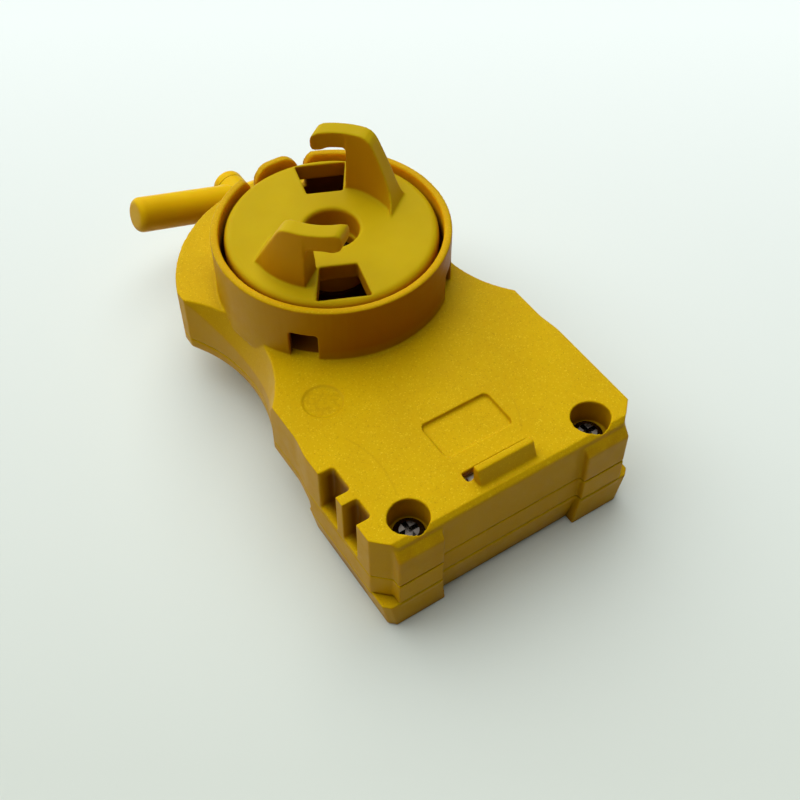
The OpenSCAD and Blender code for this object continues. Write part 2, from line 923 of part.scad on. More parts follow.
// Central hole, with a narrower seat for the washer and its screw at the bottom
module hole_profile() {
    depth = disc_top - hole_floor;
    step = disc_top - hole_step_z;
    translate([0, -depth])
        square([washer_r + pass_gap, depth]);
    translate([0, -step])
        square([hole_r, step + overrun]);
    difference() {
        translate([0, -lip_r])
            square([hole_r + lip_r, lip_r + overrun]);
        translate([hole_r + lip_r, -lip_r])
            circle(r = lip_r);
    }
}

module chuck_disc() {
    slit_angle = prong_angle + slit_lead;
    color(disc_gold)
        difference() {
            union() {
                translate([0, 0, disc_top - disc_t])
                    rotate_extrude()
                        disc_profile();
                translate([0, 0, hub_z0])
                    cylinder(h = disc_top - disc_t / 2 - hub_z0, r = hub_r);
                for (turn = [0, 180])
                    rotate(prong_angle + turn)
                        translate([0, 0, disc_top])
                            prong();
            }
            translate([0, 0, disc_top])
                rotate_extrude()
                    hole_profile();
            translate([0, 0, hub_z0 - overrun])
                cylinder(h = hub_floor + 2 * overrun, r = spindle_r + seat_gap);
            for (turn = [0, 180])
                rotate(slit_angle + turn)
                    translate([0, 0, disc_top - disc_t - overrun])
                        linear_extrude(height = disc_t + 2 * overrun)
                            polygon([
                                [slit_inner_r, -slit_inner_w / 2], [slit_outer_r, -slit_outer_w / 2],
                                [slit_outer_r, slit_outer_w / 2], [slit_inner_r, slit_inner_w / 2]
                            ]);
        }
}

module chuck_screw() {
    color(steel)
        translate([0, 0, hole_floor + washer_t])
            cross_screw(chuck_head_r, chuck_screw_r, chuck_screw_len);
}

module chuck_washer() {
    color(steel)
        translate([0, 0, hole_floor])
            tube(washer_t, washer_r, chuck_screw_r + run_gap);
}

module thrust_washer() {
    color(white_plastic)
        translate([0, 0, hub_z0 - thrust_t])
            tube(thrust_t, bush_flange_r, spindle_r + run_gap);
}

module spindle() {
    base_z = case_floor + pass_gap;
    top_z = hole_floor - pass_gap;
    tap_z = hole_floor + washer_t - chuck_screw_len - pass_gap;
    color(steel)
        difference() {
            translate([0, 0, base_z])
                cylinder(h = top_z - base_z, r = spindle_r);
            translate([0, 0, tap_z])
                cylinder(h = top_z - tap_z + overrun, r = chuck_screw_r + seat_gap);
        }
}

module upper_bush() {
    base_z = inner_top - gear_gap + pass_gap;
    color(brass)
        difference() {
            union() {
                translate([0, 0, base_z])
                    cylinder(h = case_h + boss_rise - base_z, r = spindle_r + bush_t);
                translate([0, 0, case_h + boss_rise])
                    cylinder(h = bush_flange_t, r = bush_flange_r);
            }
            translate([0, 0, base_z - overrun])
                cylinder(h = collar_h, r = spindle_r + run_gap);
        }
}

module lower_bush() {
    color(brass)
        translate([0, 0, case_floor])
            tube(lower_bush_h, spindle_r + bush_t, spindle_r + run_gap);
}

// Drive

module drive_pinion() {
    color(white_plastic)
        difference() {
            union() {
                translate([0, 0, pinion_z0])
                    gear_blank(pinion_teeth, -90, gear_top - pinion_z0);
                translate([0, 0, saw_z])
                    intersection() {
                        saw_wedges(saw_gap, -saw_gap_angle, saw_gap_angle);
                        cylinder(h = saw_h + overrun, r = dog_r);
                    }
            }
            translate([0, 0, saw_z - overrun])
                cylinder(h = case_h, r = spindle_r + run_gap);
        }
}

module clutch_dog() {
    color(steel)
        difference() {
            translate([0, 0, dog_z0])
                tube(dog_t + saw_h, dog_r, spindle_r + run_gap);
            translate([0, 0, saw_z])
                saw_wedges(-saw_gap, saw_gap_angle, 0);
        }
}

module clutch_spring() {
    base_z = seat_z + seat_t + coil_wire_r + seat_gap;
    rise = dog_z0 - coil_wire_r - seat_gap - base_z;
    rings = coil_turns * coil_rings + 1;
    points = [for (i = [0:rings - 1], k = [0:coil_sides - 1])
        let (
            along = i / (rings - 1),
            turn = 360 * coil_turns * along,
            round = 360 * k / coil_sides,
            out = coil_mean_r + coil_wire_r * cos(round)
        )
        [out * cos(turn), out * sin(turn), base_z + rise * along + coil_wire_r * sin(round)]];
    color(steel)
        polyhedron(points, tube_faces(rings, coil_sides));
}

module spring_seat() {
    color(steel)
        translate([0, 0, seat_z])
            tube(seat_t, seat_r, spindle_r + seat_gap);
}

module idler_gear() {
    gap_turn = 180 / idler_teeth;
    color(white_plastic)
        translate([0, idler_y, gear_z0])
            difference() {
                gear_blank(idler_teeth, 90 + gap_turn, gear_h);
                translate([0, 0, -overrun])
                    cylinder(h = gear_h + 2 * overrun, r = pin_r + run_gap);
            }
}

module idler_pin() {
    color(steel)
        translate([0, idler_y, case_floor])
            cylinder(h = inner_top + wall / 2 - pass_gap - case_floor, r = pin_r);
}

module at_drive_lugs() {
    for (i = [0:drive_lug_count - 1])
        rotate(i * 360 / drive_lug_count)
            translate([drum_r * drive_lug_share, 0, 0])
                children();
}

module reel_gear() {
    color(white_plastic)
        translate([0, reel_y, gear_z0])
            difference() {
                gear_blank(reel_teeth, 90, gear_h);
                translate([0, 0, -overrun])
                    cylinder(h = gear_h + 2 * overrun, r = axle_r + run_gap);
                at_drive_lugs()
                    translate([0, 0, -overrun])
                        cylinder(h = drive_lug_h + overrun + pass_gap, r = drive_lug_r + seat_gap);
            }
}

module string_reel() {
    color(dark_plastic)
        translate([0, reel_y, 0])
            difference() {
                union() {
                    translate([0, 0, reel_z0])
                        cylinder(h = gear_z0 - reel_z0, r = drum_r);
                    for (z = [groove_z0 - flange_t, groove_z1])
                        translate([0, 0, z])
                            cylinder(h = flange_t, r = flange_r);
                    at_drive_lugs()
                        translate([0, 0, groove_z1])
                            cylinder(h = flange_t + drive_lug_h, r = drive_lug_r);
                }
                translate([0, 0, reel_z0 - overrun])
                    cylinder(h = seam_z - reel_z0 + overrun, r = drum_r - drum_t);
                translate([0, 0, reel_z0 - overrun])
                    cylinder(h = case_h, r = axle_r + run_gap);
            }
}

module reel_axle() {
    color(steel)
        translate([0, reel_y, case_floor])
            cylinder(h = inner_top + wall / 2 - pass_gap - case_floor, r = axle_r);
}

function strip_point(i, side) =
    let (
        along = i / (strip_turns * strip_steps),
        r = strip_r0 + (strip_r1 - strip_r0) * along + side * strip_t / 2,
        turn = 360 * strip_turns * along
    )
    r * [cos(turn), sin(turn)];

module rewind_spring() {
    last = strip_turns * strip_steps;
    base_z = reel_z0 + spring_cover_t + pass_gap;
    color(steel)
        translate([0, reel_y, base_z])
            linear_extrude(height = seam_z - pass_gap - base_z)
                polygon(concat(
                    [for (i = [0:last]) strip_point(i, 1)],
                    [for (i = [0:last]) strip_point(last - i, -1)]
                ));
}

module spring_cover() {
    color(white_plastic)
        translate([0, reel_y, reel_z0])
            tube(spring_cover_t, drum_r - drum_t - seat_gap, arbor_r + pass_gap);
}

// Cord and handle

module cord_winding() {
    color(cord_white)
        translate([0, reel_y, seam_z - cord_d * cord_turns / 2])
            tube(cord_d * cord_turns, winding_r, drum_r + seat_gap);
}

module cord_lead() {
    points = [for (place = lead_route, k = [0:lead_sides - 1])
        let (round = -360 * k / lead_sides)
        [place[0] + cord_r * cos(round), place[1], seam_z + cord_r * sin(round)]];
    color(cord_white)
        polyhedron(points, tube_faces(len(lead_route), lead_sides));
}

module cord_knot() {
    color(cord_white)
        translate([0, knot_y, seam_z])
            sphere(r = knot_r);
}

module cord_eyelet() {
    color(gold)
        translate([0, 0, seam_z])
            difference() {
                union() {
                    along_y(eyelet_y0, nozzle_y - eyelet_y0, eyelet_r);
                    along_y(nozzle_y, eyelet_flange_t, eyelet_flange_r);
                }
                along_y(eyelet_y0 - overrun, eyelet_front - eyelet_y0 + 2 * overrun, cord_hole_r);
            }
}

// Half outline of a rod with one round end, drawn from its middle
module rod_profile(half, r, end_r) {
    square([r - end_r, half]);
    square([r, half - end_r]);
    translate([r - end_r, half - end_r])
        circle(r = end_r);
}

module pull_handle() {
    color(grip_gold)
        translate([0, grip_y, seam_z])
            rotate([0, bar_tilt, 0])
                difference() {
                    union() {
                        for (side = [-1, 1])
                            rotate([0, side * 90, 0])
                                rotate_extrude()
                                    rod_profile(bar_half, bar_r, bar_end_r);
                        along_y(-bar_y, bar_y + hub_front, grip_hub_r);
                    }
                    along_y(-bar_y - overrun, bar_y + hub_front, cord_hole_r);
                    along_y(pocket_y - grip_y, grip_front, pocket_r);
                }
}

module cap_profile() {
    edge_r = cap_h * cap_edge_share;
    square([grip_hub_r - edge_r, cap_h]);
    square([grip_hub_r, cap_h - edge_r]);
    translate([grip_hub_r - edge_r, cap_h - edge_r])
        circle(r = edge_r);
}

module handle_cap() {
    color(grip_gold)
        translate([0, grip_front, seam_z])
            rotate([-90, 0, 0]) {
                rotate_extrude()
                    cap_profile();
                translate([0, 0, -cap_plug_h])
                    cylinder(h = cap_plug_h + cap_h / 2, r = pocket_r - seat_gap);
            }
}

chuck_case();
middle_frame();
back_cover();
rear_case_screws();
front_case_screws();
chuck_disc();
chuck_screw();
chuck_washer();
thrust_washer();
spindle();
upper_bush();
lower_bush();
drive_pinion();
clutch_dog();
clutch_spring();
spring_seat();
idler_gear();
idler_pin();
reel_gear();
string_reel();
reel_axle();
rewind_spring();
spring_cover();
cord_winding();
cord_lead();
cord_knot();
cord_eyelet();
pull_handle();
handle_cap();
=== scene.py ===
import json
import math

import bmesh
import bpy
import numpy as np
from mathutils import Matrix, Vector


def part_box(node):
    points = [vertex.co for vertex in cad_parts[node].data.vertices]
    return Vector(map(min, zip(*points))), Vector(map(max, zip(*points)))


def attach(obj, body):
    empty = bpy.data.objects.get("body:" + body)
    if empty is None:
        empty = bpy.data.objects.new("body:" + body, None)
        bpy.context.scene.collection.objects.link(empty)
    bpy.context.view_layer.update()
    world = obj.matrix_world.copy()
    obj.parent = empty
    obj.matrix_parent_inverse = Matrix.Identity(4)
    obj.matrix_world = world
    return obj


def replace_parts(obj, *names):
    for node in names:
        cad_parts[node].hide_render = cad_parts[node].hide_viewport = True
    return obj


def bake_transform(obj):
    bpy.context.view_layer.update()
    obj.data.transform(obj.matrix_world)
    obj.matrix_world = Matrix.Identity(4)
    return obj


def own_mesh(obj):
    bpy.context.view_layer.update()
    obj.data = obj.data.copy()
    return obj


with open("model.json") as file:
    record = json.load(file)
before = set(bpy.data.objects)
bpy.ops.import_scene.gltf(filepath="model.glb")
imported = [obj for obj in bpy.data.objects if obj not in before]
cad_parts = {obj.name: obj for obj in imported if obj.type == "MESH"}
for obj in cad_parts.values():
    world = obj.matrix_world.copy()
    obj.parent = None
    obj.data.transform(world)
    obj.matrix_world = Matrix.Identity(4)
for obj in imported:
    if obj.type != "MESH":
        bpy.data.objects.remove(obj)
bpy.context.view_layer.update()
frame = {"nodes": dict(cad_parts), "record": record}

MM = 0.001

# Camera, as the photograph was taken
CAMERA_AZIMUTH = -33.17
CAMERA_ELEVATION = 50.5
CAMERA_PLACE = Vector((-80.44, -146.38, 186.92)) * MM
CAMERA_LENS = 53.96
CAMERA_SENSOR = 36.0
CAMERA_NEAR = 0.005

# Light, floor and backdrop, in metres and degrees
SKY_STRENGTH = 0.06
SKY_WHITE = (0.97, 1.0, 0.99, 1.0)
KEY_STRENGTH = 3.5
KEY_FROM = Vector((-0.08, 0.46, 0.88))
KEY_SPREAD = 90.0
FLOOR_SIZE = 6.0
FLOOR_DROP = 0.02 * MM
# The floor's painted light: its colour near the camera and far from it, and the span between
FLOOR_NEAR, FLOOR_FAR = (0.655, 0.71, 0.645), (0.89, 0.965, 0.935)
FLOOR_FADE = (-0.09, 0.12)
BACKDROP_R = 2.9
BACKDROP_WHITE = (0.92, 1.0, 0.97)

# Meshes: how near corners are merged, how far each smoothing pass moves a corner, how near a cut
# takes a corner for its own, and how the cord's run is split
MERGE = 0.0005 * MM
WEAR = 0.5
PRONG_SNAP, DISC_SNAP = 1e-5, 1e-7
CORD_STEP = 4 * MM
CORD_HALVINGS = 4

# Case, in mm: its top face, where its front half turns under, and how its rear block spreads
TOP_Z = 23.5
KEEL_Z = 10.8
KEEL_LEAN = math.tan(math.radians(41.0))
SPINE_REAR, SPINE_FRONT = -34.0, 3.0
SPINE_EASE = 2.0
SPINE_REACH = 27.0
REAR_SPREAD = 0.65
SPREAD_FROM_X, SPREAD_FROM_Y = (20.0, 25.0), (30.0, 36.0)
REAR_PUSH = 1.0
PUSH_FROM_Y = (54.0, 56.5)
COVER_TOP = 7.6

# Handle, in mm and degrees
GRIP_PLACE = np.array((0.0, 40.1, 12.9))
GRIP_TILT = 16.4
GRIP_STRETCH = 1.8
STRETCH_FROM = (6.0, 20.0)
HUB_R, HUB_OLD_R = 3.4, 5.0
HUB_OFF_BAR = (3.7, 4.4)
HUB_END = (-6.5, -5.5)

# Hooked prongs, in mm: their outline as it unrolls, from the tail over the arm to the lip
PRONG_LINE = (
    (-9.9, -1.5), (-9.5, 0.0), (-3.47, 10.5), (-2.8, 11.3), (-1.9, 11.8), (-0.87, 12.0),
    (6.9, 12.0), (7.75, 11.65), (8.1, 10.8), (8.1, 9.2), (7.75, 8.35), (6.9, 8.0), (6.3, 8.0),
    (5.6, 8.3), (5.0, 8.4), (2.7, 8.4), (2.05, 8.1), (1.85, 7.4), (1.85, -1.5),
)
PRONG_INNER_R, PRONG_OUTER_R = 12.5, 15.7
PRONG_FLARE_H, PRONG_FLARE, PRONG_FLARE_SPAN = 3.2, 0.15, 1.6
PRONG_TURNS = (36.0, 216.0)
PRONG_FIRST, PRONG_LAST, PRONG_STRIP = -9.4, 8.0, 0.8
DISC_TOP = 35.4
DISC_CUT = 0.05

# Corner feet, in mm
FOOT_LINE = (
    (15.05, -60.1), (25.7, -60.1), (26.95, -58.9), (26.95, -34.5),
    (25.2, -34.5), (25.2, -53.0), (15.05, -53.0),
)
FOOT_TOP = 7.3
FOOT_LEAN_X, FOOT_LEAN_Y = 0.95, 0.996

# Weld lines on the top face, in mm: three points that each passes through
WELD_LINES = (
    ((-19.6, -35.1), (-17.3, -43.5), (-18.5, -50.8)),
    ((10.2, -43.3), (9.1, -47.4), (6.9, -51.1)),
)
WELD_WIDTH, WELD_STRENGTH = (0.06, 0.3), 0.3
WELD_FADE, WELD_SIDE_FADE = 1.0, 0.5
WELD_FOOT = (TOP_Z - 0.3, TOP_Z - 0.1)

# Clutch: the share of the thrust washer's thickness that is kept
WASHER_SHARE = 0.95

# Edge notches and rear pads, in mm: the spans over which the notches' painted shade and the pads' wear
# come and go
NOTCH_X, NOTCH_FRONT, NOTCH_REAR = -22.5, -39.5, -52.2
NOTCH_MOUTH = -26.4
NOTCH_STRENGTH = 0.9
NOTCH_MOUTH_SPAN = (NOTCH_MOUTH - 0.2, NOTCH_MOUTH + 1.2)
NOTCH_END_SPAN = (NOTCH_X - 0.2, NOTCH_X)
NOTCH_REAR_SPAN = (NOTCH_REAR, NOTCH_REAR + 0.2)
NOTCH_FRONT_SPAN = (NOTCH_FRONT - 0.2, NOTCH_FRONT)
NOTCH_TOP_SPAN = (TOP_Z - 2.0, TOP_Z - 0.3)
PAD_Y, PAD_LOW = -58.9, 12.9
PAD_FACE_SPAN = (PAD_Y - 0.5, PAD_Y)
PAD_LOW_SPAN = (PAD_LOW, PAD_LOW + 1.0)

# Collar, in mm: the spans over which its painted shade and painted light come and go
COLLAR_R = 22.5
COLLAR_T = 1.5
RIM_Z = 35.7
SHADE_EDGE_SPAN = (COLLAR_R + 1.0, COLLAR_R + 1.5)
SHADE_FOOT_SPAN = (TOP_Z + 0.2, TOP_Z + 2.5)
WALL_SPAN = (COLLAR_R - 0.6 * COLLAR_T, COLLAR_R - 0.2 * COLLAR_T)
WELL_LIGHT_FOOT_SPAN = (RIM_Z - 5.0, RIM_Z - 2.0)
WELL_FOOT_SPAN = (TOP_Z - 3.0, TOP_Z - 2.0)
WELL_EDGE_SPAN = (COLLAR_R - COLLAR_T - 0.4, COLLAR_R - COLLAR_T - 0.1)
WELL_TOP_SPAN = (RIM_Z - 4.0, RIM_Z - 3.0)

# Bare stamp disc, in mm
STAMP_PLACE = (-18.3, -26.4)
STAMP_R = 3.6
STAMP_WIDTH, STAMP_STRENGTH = (0.1, 0.35), 0.5
STAMP_EDGE_SPAN = (STAMP_R - 0.2, STAMP_R)

# Finishes: how fine each pattern is, in repeats to the metre, and how deep it goes
PIGMENT_SCALE, SKIN_SCALE, GLOSS_SCALE = 90.0, 2600.0, 420.0
FLAKE_SCALE = 5200.0
STAMP_SCALE, PAD_SCALE = 1300.0, 260.0
FILM_SCALE, POLISH_SCALE = 700.0, 1500.0
STRAND_SCALE = 420.0
# How far the painted crevice shade looks for nearby surfaces
CREVICE_SHADE_REACH = 3.0 * MM
SCATTER_DEPTH = 1.4 * MM
SKIN_DEPTH, TURNING_DEPTH, STRAND_DEPTH = 0.015 * MM, 0.01 * MM, 0.1 * MM

# Colours
# Gold of the metal flakes, lightened as their painted glint
FLAKE_GLINT_GOLD = (0.95, 0.74, 0.04)
# Painted shade on the collar's outside
COLLAR_PAINTED_SHADE = (0.37, 0.135, 0.002)
# Painted light on the collar's inner wall
WELL_PAINTED_LIGHT = (0.95, 0.45, 0.004)
# Painted shade low on the collar's inner wall and in the well below the disc
WELL_PAINTED_SHADE = (0.16, 0.05, 0.001)
# Painted shade inside the edge notches
NOTCH_PAINTED_SHADE = (0.17, 0.055, 0.001)
WORN_BROWN = (0.40, 0.19, 0.002)
WELD_SHADE = (0.46, 0.27, 0.002)
# Painted shade for crevices and for dim flakes
PAINTED_SHADE_GOLD = (0.20, 0.075, 0.001)
GOLD_GLOSS = (1.0, 0.82, 0.12)
SCATTER_RADIUS = (1.0, 0.42, 0.04)

NODE_BODY = {
    node: body
    for body, members in frame["record"]["behaviour"]["bodies"].items()
    for node in members
}
NODE_SLOT = {row["node"]: row["material_slot"] for row in frame["record"]["subparts"]}


class Tree:
    """A material's node tree, with short calls to add and join its nodes."""

    def __init__(self, name):
        self.material = bpy.data.materials.new(name)
        self.material.use_nodes = True
        self.nodes = self.material.node_tree.nodes
        self.links = self.material.node_tree.links
        self.shader = self.nodes["Principled BSDF"]

    def add(self, kind, **settings):
        node = self.nodes.new(kind)
        for key, value in settings.items():
            setattr(node, key, value)
        return node

    def put(self, value, socket):
        if isinstance(value, bpy.types.NodeSocket):
            self.links.new(value, socket)
        elif isinstance(value, tuple):
            socket.default_value = value + (1.0,)
        else:
            socket.default_value = value

    def finish(self, **values):
        for key, value in values.items():
            self.put(value, self.shader.inputs[key.replace("_", " ")])
        return self.material

    def place(self):
        return self.add("ShaderNodeTexCoord").outputs["Object"]

    def normal(self):
        return self.axes(self.add("ShaderNodeNewGeometry").outputs["Normal"])

    def axes(self, vector=None):
        node = self.add("ShaderNodeSeparateXYZ")
        self.links.new(vector or self.place(), node.inputs["Vector"])
        return tuple(node.outputs)

    def noise(self, scale, detail=3.0):
        node = self.add("ShaderNodeTexNoise")
        self.put(scale, node.inputs["Scale"])
        self.put(detail, node.inputs["Detail"])
        self.put(self.place(), node.inputs["Vector"])
        return node.outputs["Fac"]

    def ramp(self, value, low, high, start=0.0, end=1.0):
        node = self.add("ShaderNodeMapRange", clamp=True)
        for entry, socket in zip((value, low, high, start, end), node.inputs):
            self.put(entry, socket)
        return node.outputs["Result"]

    def rise(self, value, low, high):
        """From 0 at low to 1 at high, in mm."""
        return self.ramp(value, low * MM, high * MM)

    def fall(self, value, low, high, start=1.0):
        """From a start at low to 0 at high, in mm."""
        return self.ramp(value, low * MM, high * MM, start, 0.0)

    def mix(self, factor, first, second):
        node = self.add("ShaderNodeMix", data_type="RGBA")
        self.put(factor, node.inputs["Factor"])
        self.put(first, node.inputs[6])
        self.put(second, node.inputs[7])
        return node.outputs[2]

    def math(self, operation, first, second=0.0):
        node = self.add("ShaderNodeMath", operation=operation)
        self.put(first, node.inputs[0])
        self.put(second, node.inputs[1])
        return node.outputs[0]

    def times(self, first, *others):
        for other in others:
            first = self.math("MULTIPLY", first, other)
        return first

    def distance(self, x, y, centre):
        across = self.math("SUBTRACT", x, centre[0])
        along = self.math("SUBTRACT", y, centre[1])
        squares = self.math("ADD", self.times(across, across), self.times(along, along))
        return self.math("SQRT", squares)

    def bump(self, height, depth, strength):
        node = self.add("ShaderNodeBump")
        self.put(strength, node.inputs["Strength"])
        self.put(depth, node.inputs["Distance"])
        self.put(height, node.inputs["Height"])
        return node.outputs["Normal"]

    # Painted shade: near 1 where ambient occlusion finds surfaces close by, near 0 in the open
    def painted_crevice_shade(self, reach):
        node = self.add("ShaderNodeAmbientOcclusion", samples=8)
        self.put(reach, node.inputs["Distance"])
        return self.ramp(node.outputs["AO"], 0.15, 0.8, 1.0, 0.0)


def circle_through(points):
    """Centre and radius of the circle through three points."""
    (ax, ay), (bx, by), (cx, cy) = points
    d = 2 * (ax * (by - cy) + bx * (cy - ay) + cx * (ay - by))
    a, b, c = ax * ax + ay * ay, bx * bx + by * by, cx * cx + cy * cy
    x = (a * (by - cy) + b * (cy - ay) + c * (ay - by)) / d
    y = (a * (cx - bx) + b * (ax - cx) + c * (bx - ax)) / d
    return (x, y), math.hypot(ax - x, ay - y)


def collar_painted_shade_and_light(tree, base, place, normal):
    """Painted shade on the collar's outside, painted light on its inner wall, and painted shade in the
    well below.
    """
    x, y, z = place
    radius = tree.distance(x, y, (0.0, 0.0))
    # Painted shade on the collar's outside, less on faces that look up or to the left
    near_axis = tree.fall(radius, *SHADE_EDGE_SPAN)
    raised = tree.rise(z, *SHADE_FOOT_SPAN)
    level = tree.ramp(normal[2], 0.2, 0.8, 1.0, 0.15)
    facing = tree.ramp(normal[0], -0.95, -0.35, 0.15, 1.0)
    base = tree.mix(tree.times(near_axis, raised, level, facing), base, COLLAR_PAINTED_SHADE)
    # The collar's inner wall: painted light near the rim, fading into painted shade lower down
    inner = tree.fall(radius, *WALL_SPAN)
    well = tree.mix(tree.rise(z, *WELL_LIGHT_FOOT_SPAN), WELL_PAINTED_SHADE, WELL_PAINTED_LIGHT)
    above = tree.rise(z, *WELL_FOOT_SPAN)
    base = tree.mix(tree.times(inner, level, above), base, well)
    # Painted shade in the well inside the collar, below the rim
    within = tree.fall(radius, *WELL_EDGE_SPAN)
    below_rim = tree.fall(z, *WELL_TOP_SPAN)
    return tree.mix(tree.times(within, below_rim, above), base, WELL_PAINTED_SHADE)


def stamp_marks(tree, base, place, normal):
    """The rough face and the rim of the bare stamp disc."""
    stamp = tree.distance(place[0], place[1], (STAMP_PLACE[0] * MM, STAMP_PLACE[1] * MM))
    off = tree.math("ABSOLUTE", tree.math("SUBTRACT", stamp, STAMP_R * MM))
    ring = tree.fall(off, *STAMP_WIDTH, STAMP_STRENGTH)
    rough = tree.times(
        tree.fall(stamp, *STAMP_EDGE_SPAN),
        tree.ramp(tree.noise(STAMP_SCALE, 2.0), 0.45, 0.6, 0.0, 0.45),
    )
    flat = tree.ramp(normal[2], 0.7, 0.9)
    return tree.mix(tree.times(tree.math("MAXIMUM", ring, rough), flat), base, WELD_SHADE)


def notch_shade_and_pad_wear(tree, base, place):
    """Painted shade inside the edge notches, and the worn faces of the rear pads."""
    x, y, z = place
    # Painted shade inside the edge notches
    notch = tree.times(
        tree.rise(x, *NOTCH_MOUTH_SPAN),
        tree.fall(x, *NOTCH_END_SPAN),
        tree.rise(y, *NOTCH_REAR_SPAN),
        tree.fall(y, *NOTCH_FRONT_SPAN),
        tree.fall(z, *NOTCH_TOP_SPAN, NOTCH_STRENGTH),
    )
    base = tree.mix(notch, base, NOTCH_PAINTED_SHADE)
    worn = tree.times(
        tree.fall(y, *PAD_FACE_SPAN),
        tree.rise(z, *PAD_LOW_SPAN),
        tree.ramp(tree.noise(PAD_SCALE, 6.0), 0.42, 0.62, 0.1, 0.55),
    )
    return tree.mix(worn, base, WORN_BROWN)


def weld_marks(tree, base, place):
    """The faint weld lines on the top face."""
    x, y, z = place
    top = tree.rise(z, *WELD_FOOT)
    for points in WELD_LINES:
        centre, reach = circle_through(points)
        away = tree.distance(x, y, (centre[0] * MM, centre[1] * MM))
        off = tree.math("ABSOLUTE", tree.math("SUBTRACT", away, reach * MM))
        line = tree.fall(off, *WELD_WIDTH, WELD_STRENGTH)
        front = tree.fall(y, points[0][1] - WELD_FADE, points[0][1])
        rear = tree.rise(y, points[2][1], points[2][1] + WELD_FADE)
        left = min(p[0] for p in points) - WELD_FADE
        right = max(p[0] for p in points) + WELD_FADE
        side = tree.times(
            tree.rise(x, left, left + WELD_SIDE_FADE),
            tree.fall(x, right - WELD_SIDE_FADE, right),
        )
        base = tree.mix(tree.times(line, front, rear, side, top), base, WELD_SHADE)
    return base


def case_marks_and_painted_light(tree, base):
    """What sets places on the case apart from its plain colour: painted shade and painted light on the
    collar, painted shade in the notches, the stamp disc, the worn pads and the weld lines.
    """
    place, normal = tree.axes(), tree.normal()
    base = collar_painted_shade_and_light(tree, base, place, normal)
    base = stamp_marks(tree, base, place, normal)
    base = notch_shade_and_pad_wear(tree, base, place)
    return weld_marks(tree, base, place)


def plastic(name, colour, shade, dark, roughness, flake=0.0, scatter=0.2, side=None, marks=None):
    """Moulded plastic: cloudy pigment, a fine skin, painted shade in crevices, and, where asked for,
    metal flake with painted glints and painted shade on upright faces.
    """
    tree = Tree(name)
    base = tree.mix(tree.ramp(tree.noise(PIGMENT_SCALE, 4.0), 0.35, 0.7), shade, colour)
    if flake:
        cells = tree.add("ShaderNodeTexVoronoi", feature="F1")
        tree.put(FLAKE_SCALE, cells.inputs["Scale"])
        tree.put(tree.place(), cells.inputs["Vector"])
        hue = tree.add("ShaderNodeSeparateColor")
        tree.put(cells.outputs["Color"], hue.inputs["Color"])
        # Metal flake: a share of the flakes take gold as a painted glint, and others darken as painted
        # shade
        painted_flake_glint = tree.ramp(hue.outputs["Red"], 1.0 - flake, 1.0, 0.0, 0.35)
        painted_flake_shade = tree.ramp(hue.outputs["Green"], 0.0, flake, 0.25, 0.0)
        base = tree.mix(painted_flake_glint, base, FLAKE_GLINT_GOLD)
        base = tree.mix(painted_flake_shade, base, dark)
    # Painted shade: upright faces take the darker, warmer side colour, and level faces keep their own
    if side:
        base = tree.mix(tree.ramp(tree.normal()[2], 0.1, 0.8, 0.85, 0.0), base, side)
    # Painted shade in crevices, towards the dark colour
    base = tree.mix(tree.times(tree.painted_crevice_shade(CREVICE_SHADE_REACH), 0.75), base, dark)
    if marks:
        base = marks(tree, base)
    rough = tree.ramp(tree.noise(GLOSS_SCALE, 5.0), 0.3, 0.7, roughness - 0.05, roughness + 0.07)
    values = {
        "Base_Color": base,
        "Roughness": rough,
        "Normal": tree.bump(tree.noise(SKIN_SCALE, 2.0), SKIN_DEPTH, 0.3),
        "Subsurface_Weight": scatter,
        "Subsurface_Scale": SCATTER_DEPTH,
        "IOR": 1.49,
    }
    tree.shader.inputs["Subsurface Radius"].default_value = SCATTER_RADIUS
    if side:
        values["Specular_IOR_Level"] = 0.09
        values["Specular_Tint"] = GOLD_GLOSS
    return tree.finish(**values)


def metal(name, colour, roughness, brushed):
    """Bare metal with fine turning marks and a dull film."""
    tree = Tree(name)
    film = tree.ramp(tree.noise(FILM_SCALE, 4.0), 0.4, 0.75)
    dull = tuple(0.62 * c for c in colour)
    rough = tree.ramp(tree.noise(POLISH_SCALE, 3.0), 0.3, 0.7, roughness - 0.06, roughness + 0.1)
    return tree.finish(
        Base_Color=tree.mix(film, colour, dull),
        Metallic=1.0,
        Roughness=rough,
        Normal=tree.bump(tree.noise(brushed, 2.0), TURNING_DEPTH, 0.5),
    )


def braid(name, colour, shade):
    """Braided cord: slanted strands."""
    tree = Tree(name)
    strands = tree.add("ShaderNodeTexWave", bands_direction="DIAGONAL", wave_profile="SIN")
    settings = {"Scale": STRAND_SCALE, "Distortion": 1.5, "Detail": 2.0, "Vector": tree.place()}
    for socket, value in settings.items():
        tree.put(value, strands.inputs[socket])
    return tree.finish(
        Base_Color=tree.mix(strands.outputs["Fac"], shade, colour),
        Roughness=0.85,
        Normal=tree.bump(strands.outputs["Fac"], STRAND_DEPTH, 0.8),
    )


